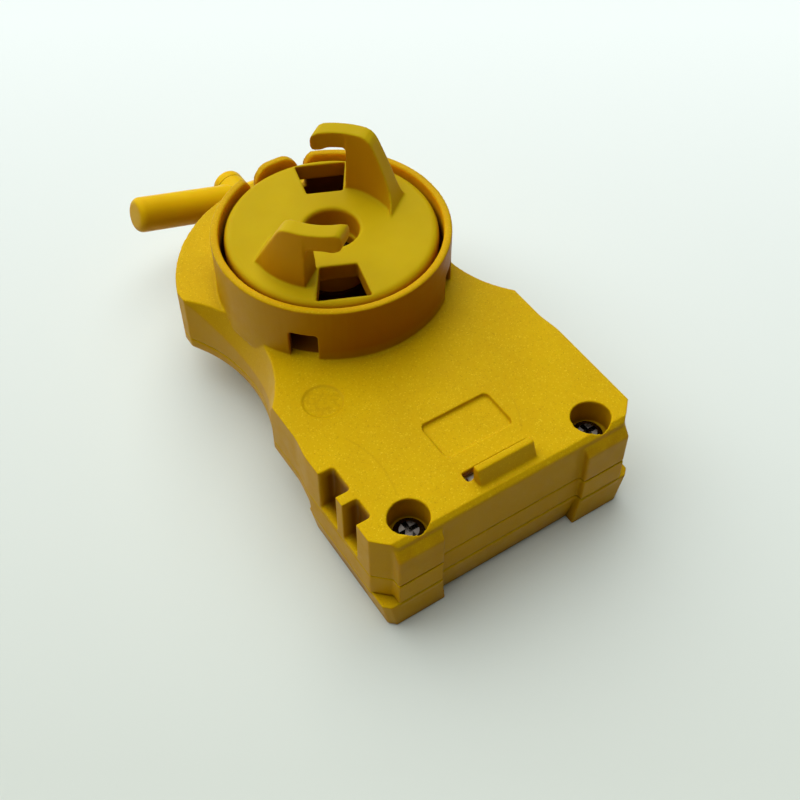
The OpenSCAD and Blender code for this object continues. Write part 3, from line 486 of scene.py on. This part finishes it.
# In each plastic below, the third colour is painted shade for crevices and dim flakes, and a side colour
# is painted shade on upright faces
MATERIALS = {
    "case_plastic": plastic(
        "case_gold", (0.63, 0.40, 0.002), (0.58, 0.36, 0.002), PAINTED_SHADE_GOLD, 0.42,
        flake=0.12, side=(0.45, 0.215, 0.001), marks=case_marks_and_painted_light,
    ),
    "chuck_plastic": plastic(
        "chuck_mustard", (0.54, 0.38, 0.004), (0.50, 0.345, 0.003), PAINTED_SHADE_GOLD, 0.46,
        side=(0.55, 0.22, 0.002),
    ),
    "handle_plastic": plastic(
        "handle_gold", (0.80, 0.50, 0.003), (0.74, 0.45, 0.003), PAINTED_SHADE_GOLD, 0.36,
        scatter=0.3, side=(0.46, 0.22, 0.002),
    ),
    "screw_steel": metal("screw_steel", (0.08, 0.07, 0.06), 0.22, 1800.0),
    "shaft_steel": metal("shaft_steel", (0.55, 0.55, 0.56), 0.28, 2400.0),
    "spring_steel": metal("spring_steel", (0.48, 0.48, 0.50), 0.30, 1600.0),
    "bush_brass": metal("bush_brass", (0.66, 0.46, 0.17), 0.30, 2000.0),
    "gear_plastic": plastic(
        "gear_white", (0.78, 0.77, 0.71), (0.72, 0.71, 0.65), (0.3, 0.29, 0.25), 0.5
    ),
    "reel_plastic": plastic(
        "reel_black", (0.035, 0.034, 0.033), (0.025, 0.024, 0.024), (0.01, 0.01, 0.01), 0.5, scatter=0.0
    ),
    "pull_cord": braid("cord_white", (0.80, 0.79, 0.74), (0.52, 0.51, 0.47)),
}


def ease(value, start, end):
    """From 0 at start to 1 at end, with a soft start and end."""
    t = np.clip((value - start) / (end - start), 0.0, 1.0)
    return t * t * (3 - 2 * t)


def case_form(p):
    """Draws the front half in below the keel, and spreads the rear block."""
    x, y, z = p.T
    drop = np.maximum(0.0, KEEL_Z - z) * KEEL_LEAN
    shrink = ease(y, SPINE_REAR - SPINE_EASE, SPINE_REAR + SPINE_EASE) * drop / SPINE_REACH
    spine = np.clip(y, SPINE_REAR, SPINE_FRONT)
    spread = REAR_SPREAD * ease(np.abs(x), *SPREAD_FROM_X) * ease(-y, *SPREAD_FROM_Y)
    push = REAR_PUSH * np.clip(1 - z / COVER_TOP, 0, 1) * ease(-y, *PUSH_FROM_Y)
    across = x * (1 - shrink) + np.sign(x) * spread
    along = y - (y - spine) * shrink - push
    return np.stack((across, along, z), 1)


def handle_form(p):
    """Draws the bar out to its full length, and its hub in."""
    turn = math.radians(GRIP_TILT)
    axis = np.array((math.cos(turn), 0.0, -math.sin(turn)))
    along = (p - GRIP_PLACE) @ axis
    out = np.sign(along) * GRIP_STRETCH * ease(np.abs(along), *STRETCH_FROM)
    from_bar = np.linalg.norm(p - GRIP_PLACE - along[:, None] * axis, axis=1)
    hub = ease(from_bar, *HUB_OFF_BAR) * ease(-np.abs(along), *HUB_END) * (1 - HUB_R / HUB_OLD_R)
    across = (p - GRIP_PLACE) * np.array((1.0, 0.0, 1.0))
    return p + out[:, None] * axis - hub[:, None] * across


def cap_form(p):
    """Brings the button down to the hub's size."""
    return GRIP_PLACE + (p - GRIP_PLACE) * np.array((HUB_R / HUB_OLD_R, 1.0, HUB_R / HUB_OLD_R))


def same_form(p):
    """Leaves a piece as it is."""
    return p


def show(mesh, name, body, slot):
    """Adds a mesh as a piece with a slot's finish, which moves with a body where one is named."""
    mesh.materials.clear()
    mesh.materials.append(MATERIALS[slot])
    piece = bpy.data.objects.new(name, mesh)
    bpy.context.scene.collection.objects.link(piece)
    if body:
        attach(piece, body)
    return piece


def worked(mesh, *steps):
    """The mesh after modifiers, each given as its kind and its settings."""
    draft = bpy.data.objects.new("draft", mesh)
    bpy.context.scene.collection.objects.link(draft)
    for kind, settings in steps:
        modifier = draft.modifiers.new(kind, kind)
        for key, value in settings.items():
            setattr(modifier, key, value)
    depsgraph = bpy.context.evaluated_depsgraph_get()
    result = bpy.data.meshes.new_from_object(draft.evaluated_get(depsgraph))
    bpy.data.objects.remove(draft)
    return result


def softened(mesh, voxel, passes, keep, form):
    """The mesh with its edges worn round, brought to its form, and thinned to a share of its faces."""
    build = bmesh.new()
    build.from_mesh(mesh)
    bmesh.ops.remove_doubles(build, verts=build.verts, dist=MERGE)
    build.to_mesh(mesh)
    build.free()
    skin = ("REMESH", {"mode": "VOXEL", "voxel_size": voxel * MM})
    wear = ("SMOOTH", {"factor": WEAR, "iterations": passes})
    soft = worked(mesh, skin, wear)
    points = np.empty(3 * len(soft.vertices), np.float32)
    soft.vertices.foreach_get("co", points)
    shaped = form(points.reshape(-1, 3) / MM) * MM
    soft.vertices.foreach_set("co", shaped.astype(np.float32).ravel())
    soft.update()
    thin = worked(soft, ("DECIMATE", {"ratio": keep}))
    thin.shade_smooth()
    return thin


def prong_block(turn):
    """A closed block of one hooked prong, bent round the disc's axis."""
    build = bmesh.new()
    layers = [[build.verts.new((layer, u, h)) for u, h in PRONG_LINE] for layer in (0.0, 1.0)]
    build.faces.new(layers[0])
    build.faces.new(layers[1])
    for i in range(len(PRONG_LINE)):
        j = (i + 1) % len(PRONG_LINE)
        build.faces.new((layers[0][i], layers[0][j], layers[1][j], layers[1][i]))
    for u in np.arange(PRONG_FIRST, PRONG_LAST, PRONG_STRIP):
        parts = build.verts[:] + build.edges[:] + build.faces[:]
        bmesh.ops.bisect_plane(build, geom=parts, plane_co=(0, u, 0), plane_no=(0, 1, 0), dist=PRONG_SNAP)
    for vert in build.verts:
        layer, u, h = vert.co
        flare = PRONG_FLARE * max(0.0, PRONG_FLARE_H - max(h, 0.0)) ** 2
        depth = PRONG_OUTER_R - PRONG_INNER_R + PRONG_FLARE_SPAN * flare
        radius = PRONG_INNER_R - flare + layer * depth
        vert.co = Vector((math.sqrt(radius * radius - u * u), u, h + DISC_TOP)) * MM
    bmesh.ops.recalc_face_normals(build, faces=build.faces)
    bmesh.ops.rotate(build, verts=build.verts, matrix=Matrix.Rotation(math.radians(turn), 3, "Z"))
    bmesh.ops.triangulate(build, faces=build.faces)
    mesh = bpy.data.meshes.new("prong")
    build.to_mesh(mesh)
    build.free()
    return mesh


def disc_draft():
    """The chuck's disc with its prongs drawn anew."""
    build = bmesh.new()
    build.from_mesh(frame["nodes"]["chuck_disc"].data)
    bmesh.ops.remove_doubles(build, verts=build.verts, dist=MERGE)
    parts = build.verts[:] + build.edges[:] + build.faces[:]
    cut = (0, 0, (DISC_TOP + DISC_CUT) * MM)
    bmesh.ops.bisect_plane(
        build, geom=parts, plane_co=cut, plane_no=(0, 0, 1), clear_outer=True, dist=DISC_SNAP
    )
    bmesh.ops.holes_fill(build, edges=[e for e in build.edges if e.is_boundary])
    for turn in PRONG_TURNS:
        build.from_mesh(prong_block(turn))
    mesh = bpy.data.meshes.new("disc")
    build.to_mesh(mesh)
    build.free()
    return mesh


def thin_piece(node, share):
    """A copy of a node drawn in along Z towards its top, so that it runs clear of what it lies on."""
    mesh = frame["nodes"][node].data.copy()
    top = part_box(node)[1][2]
    mesh.transform(Matrix.Translation((0, 0, top * (1 - share))) @ Matrix.Diagonal((1, 1, share, 1)))
    piece = show(mesh, node + "_clear", NODE_BODY[node], NODE_SLOT[node])
    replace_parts(piece, node)


def coil_spring():
    """The clutch's spring, as a copy with a mesh of its own that moves with the spring's body."""
    mesh = frame["nodes"]["clutch_spring"].data.copy()
    piece = show(mesh, "clutch_spring_coil", NODE_BODY["clutch_spring"], NODE_SLOT["clutch_spring"])
    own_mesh(piece)
    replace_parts(piece, "clutch_spring")


def soft_piece(node, voxel, passes, keep, form, draft=None):
    """A softened copy of a node, brought to its form, which stands for the node."""
    mesh = draft() if draft else frame["nodes"][node].data.copy()
    mesh = softened(mesh, voxel, passes, keep, form)
    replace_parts(show(mesh, node + "_soft", NODE_BODY[node], NODE_SLOT[node]), node)


def corner_foot(side, name):
    """One of the two feet under the rear pads."""
    build = bmesh.new()
    rows = []
    for height, across, along in ((0.0, FOOT_LEAN_X, FOOT_LEAN_Y), (FOOT_TOP, 1.0, 1.0)):
        points = [(side * x * across, y * along, height) for x, y in FOOT_LINE]
        rows.append([build.verts.new(Vector(point) * MM) for point in points])
    low, high = rows
    build.faces.new(low)
    build.faces.new(high)
    for i in range(len(low)):
        j = (i + 1) % len(low)
        build.faces.new((low[i], low[j], high[j], high[i]))
    bmesh.ops.recalc_face_normals(build, faces=build.faces)
    mesh = bpy.data.meshes.new(name)
    build.to_mesh(mesh)
    build.free()
    show(softened(mesh, *FOOT_SOFT), name, "case", "case_plastic")


def cord_lead():
    """The cord's run to the handle, cut into short lengths and triangulated."""
    mesh = frame["nodes"]["cord_lead"].data.copy()
    build = bmesh.new()
    build.from_mesh(mesh)
    bmesh.ops.remove_doubles(build, verts=build.verts, dist=MERGE)
    for _ in range(CORD_HALVINGS):
        long_edges = [e for e in build.edges if e.calc_length() > CORD_STEP]
        if long_edges:
            bmesh.ops.subdivide_edges(build, edges=long_edges, cuts=1, use_grid_fill=True)
    bmesh.ops.triangulate(build, faces=build.faces)
    build.to_mesh(mesh)
    build.free()
    piece = show(mesh, "cord_lead_run", None, NODE_SLOT["cord_lead"])
    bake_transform(piece)
    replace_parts(piece, "cord_lead")


for node, piece in frame["nodes"].items():
    piece.data.materials.clear()
    piece.data.materials.append(MATERIALS[NODE_SLOT[node]])

# Voxel in mm, smoothing passes, share of the faces kept, form, and a mesh drawn anew where there is one
FOOT_SOFT = (0.2, 6, 0.3, same_form)
SOFT_PIECES = {
    "chuck_case": (0.25, 4, 0.3, case_form),
    "middle_frame": (0.2, 8, 0.25, case_form),
    "back_cover": (0.22, 8, 0.2, case_form),
    "chuck_disc": (0.18, 16, 0.3, same_form, disc_draft),
    "pull_handle": (0.2, 6, 0.35, handle_form),
    "handle_cap": (0.15, 5, 0.5, cap_form),
}
for node, settings in SOFT_PIECES.items():
    soft_piece(node, *settings)
corner_foot(-1, "corner_foot_left")
corner_foot(1, "corner_foot_right")
cord_lead()
coil_spring()
thin_piece("thrust_washer", WASHER_SHARE)


def floor():
    """A pale floor with painted light that grows away from the camera's place, darker near it."""
    bpy.ops.mesh.primitive_plane_add(size=FLOOR_SIZE, location=(0, 0, -FLOOR_DROP))
    plane = bpy.context.object
    plane.name = "floor"
    tree = Tree("floor")
    x, y, _ = tree.axes()
    turn = math.radians(CAMERA_AZIMUTH)
    away = tree.math("ADD", tree.times(x, -math.sin(turn)), tree.times(y, math.cos(turn)))
    colour = tree.mix(tree.ramp(away, *FLOOR_FADE), FLOOR_NEAR, FLOOR_FAR)
    plane.data.materials.append(tree.finish(Base_Color=colour, Roughness=0.9, Specular_IOR_Level=0.1))


def backdrop():
    """A pale dome, seen by the camera alone, that closes the view above the floor."""
    bpy.ops.mesh.primitive_uv_sphere_add(radius=BACKDROP_R)
    dome = bpy.context.object
    dome.name = "backdrop"
    tree = Tree("backdrop")
    glow = tree.add("ShaderNodeEmission")
    tree.put(BACKDROP_WHITE, glow.inputs["Color"])
    clear = tree.add("ShaderNodeBsdfTransparent")
    choice = tree.add("ShaderNodeMixShader")
    tree.put(tree.add("ShaderNodeLightPath").outputs["Is Camera Ray"], choice.inputs[0])
    tree.links.new(clear.outputs[0], choice.inputs[1])
    tree.links.new(glow.outputs[0], choice.inputs[2])
    tree.links.new(choice.outputs[0], tree.nodes["Material Output"].inputs["Surface"])
    dome.data.materials.append(tree.material)


def light():
    """A dim even sky and one very wide soft key light."""
    world = bpy.data.worlds.new("studio")
    bpy.context.scene.world = world
    world.use_nodes = True
    sky = world.node_tree.nodes["Background"]
    sky.inputs["Color"].default_value = SKY_WHITE
    sky.inputs["Strength"].default_value = SKY_STRENGTH
    data = bpy.data.lights.new("key", "SUN")
    data.energy = KEY_STRENGTH
    data.angle = math.radians(KEY_SPREAD)
    key = bpy.data.objects.new("key", data)
    bpy.context.scene.collection.objects.link(key)
    key.rotation_mode = "QUATERNION"
    key.rotation_quaternion = KEY_FROM.to_track_quat("Z", "Y")


def camera():
    """The camera at the photograph's place and angle."""
    data = bpy.data.cameras.new("camera")
    data.lens = CAMERA_LENS
    data.sensor_width = CAMERA_SENSOR
    data.clip_start = CAMERA_NEAR
    obj = bpy.data.objects.new("camera", data)
    bpy.context.scene.collection.objects.link(obj)
    turn, tilt = math.radians(CAMERA_AZIMUTH), math.radians(CAMERA_ELEVATION)
    right = Vector((math.cos(turn), math.sin(turn), 0))
    back = Vector((math.sin(turn) * math.cos(tilt), -math.cos(turn) * math.cos(tilt), math.sin(tilt)))
    up = back.cross(right)
    obj.matrix_world = Matrix.Translation(CAMERA_PLACE) @ Matrix((right, up, back)).transposed().to_4x4()
    bpy.context.scene.camera = obj


floor()
backdrop()
light()
camera()
bpy.context.scene.view_settings.view_transform = "Standard"
